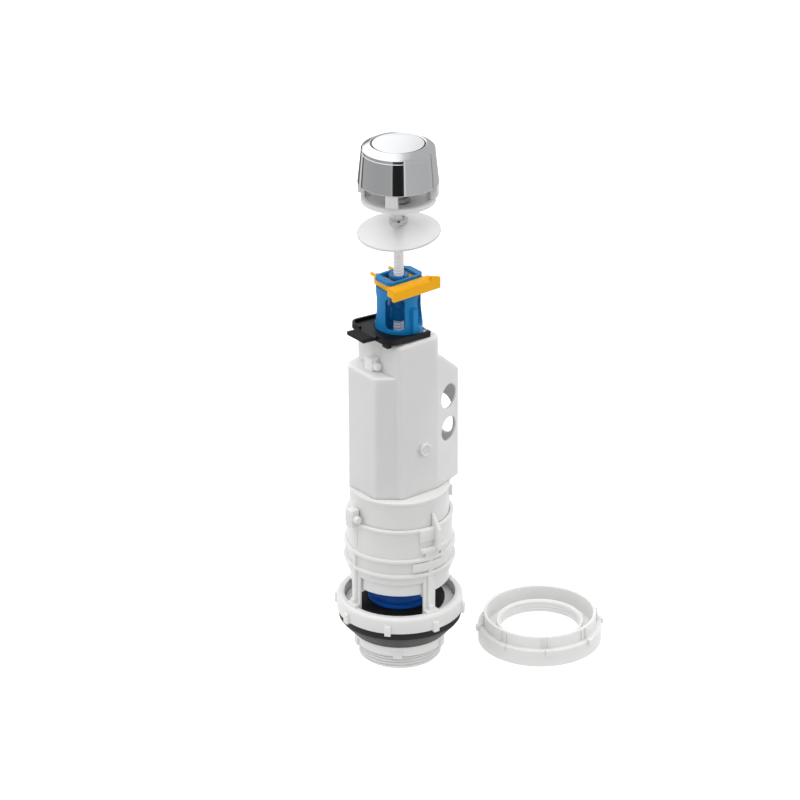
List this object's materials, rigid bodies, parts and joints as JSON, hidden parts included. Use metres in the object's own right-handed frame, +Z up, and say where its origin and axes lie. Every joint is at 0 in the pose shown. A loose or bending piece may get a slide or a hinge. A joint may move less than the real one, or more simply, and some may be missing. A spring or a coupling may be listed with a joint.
{
  "type": "toilet flush valve",
  "caption": "Push-button toilet flush valve: chrome button on a threaded rod, blue carriage with locking fork, white housing, caged seal, threaded outlet and loose back nut.",
  "frame": {"origin": "on the valve's axis at the lower end of the outlet tail, which is also the plane that the back nut stands on", "axes": "+Z up along the valve's axis towards the push button, +X towards the wing of the housing, -Y towards the front face with the rocker's boss"},
  "size_m": [0.1851, 0.1431, 0.3985],
  "materials": {
    "white_plastic": "satin moulded polypropylene",
    "black_rubber": "matte moulded rubber",
    "black_plastic": "satin moulded plastic",
    "blue_plastic": "satin gloss moulded plastic",
    "dark_blue_plastic": "satin gloss moulded plastic",
    "yellow_plastic": "satin gloss moulded plastic",
    "nylon": "natural nylon, slightly translucent",
    "chrome": "chrome plated plastic",
    "spring_steel": "bright wire",
    "frosted_plastic": "frosted translucent plastic"
  },
  "bodies": {
    "base": {"outlet_seat": "white_plastic", "base_gasket": "black_rubber", "cage": "white_plastic"},
    "upper_body": {"lower_cylinder": "white_plastic", "housing": "white_plastic"},
    "slide": {"release_slide": "black_plastic"},
    "plunger": {"carriage": "blue_plastic", "rod_nut": "dark_blue_plastic"},
    "fork": {"locking_fork": "yellow_plastic"},
    "button": {"push_rod": "nylon", "button_stem": "white_plastic", "push_button": "chrome", "button_spring": "spring_steel"},
    "bezel": {"button_bezel": "chrome", "button_crown": "white_plastic", "neck_clip": "spring_steel", "splash_disc": "frosted_plastic"},
    "rocker": {"rocker": "white_plastic"},
    "valve": {"overflow_tube": "white_plastic", "seal_holder": "dark_blue_plastic", "valve_seal": "black_rubber", "seal_retainer": "white_plastic", "float_cup": "dark_blue_plastic", "lift_collar": "white_plastic"},
    "back_nut": {"back_nut": "white_plastic"}
  },
  "joints": [
    {"name": "bayonet_twist", "type": "hinge", "parent": "base", "child": "upper_body", "pos_m": [0, 0, 0.09], "axis": [0, 0, 1], "range_deg": [0, 25]},
    {"name": "plunger_press", "type": "slide", "parent": "upper_body", "child": "plunger", "axis": [0, 0, -1], "range_m": [0, 0.01], "stiffness_N_per_m": 300, "springref_m": -0.02},
    {"name": "rocker_turn", "type": "hinge", "parent": "upper_body", "child": "rocker", "pos_m": [0.0027, 0, 0.1711], "axis": [0, -1, 0], "range_deg": [0, 41.86]},
    {"name": "valve_lift", "type": "slide", "parent": "upper_body", "child": "valve", "axis": [0, 0, 1], "range_m": [0, 0.01]},
    {"name": "rod_height", "type": "slide", "parent": "plunger", "child": "button", "axis": [0, 0, 1], "range_m": [-0.02, 0.015]},
    {"name": "bezel_hold", "type": "slide", "parent": "button", "child": "bezel", "axis": [0, 0, 1], "range_m": [0, 0.01], "deforming": ["button_spring"]},
    {"name": "fork_pull", "type": "slide", "parent": "plunger", "child": "fork", "axis": [0, -1, 0], "range_m": [0, 0.009]},
    {"name": "slide_release", "type": "slide", "parent": "upper_body", "child": "slide", "axis": [-1, 0, 0], "range_m": [0, 0.005]},
    {"name": "nut_lift", "type": "slide", "parent": "base", "child": "back_nut", "axis": [0, 0, 1], "range_m": [0, 0.05]}
  ],
  "couplings": [
    {"joint": "rocker_turn", "follows": "plunger_press", "rad_per_m": 73.041},
    {"joint": "valve_lift", "follows": "plunger_press", "ratio": 1},
    {"joint": "bezel_hold", "follows": "plunger_press", "ratio": 1}
  ]
}
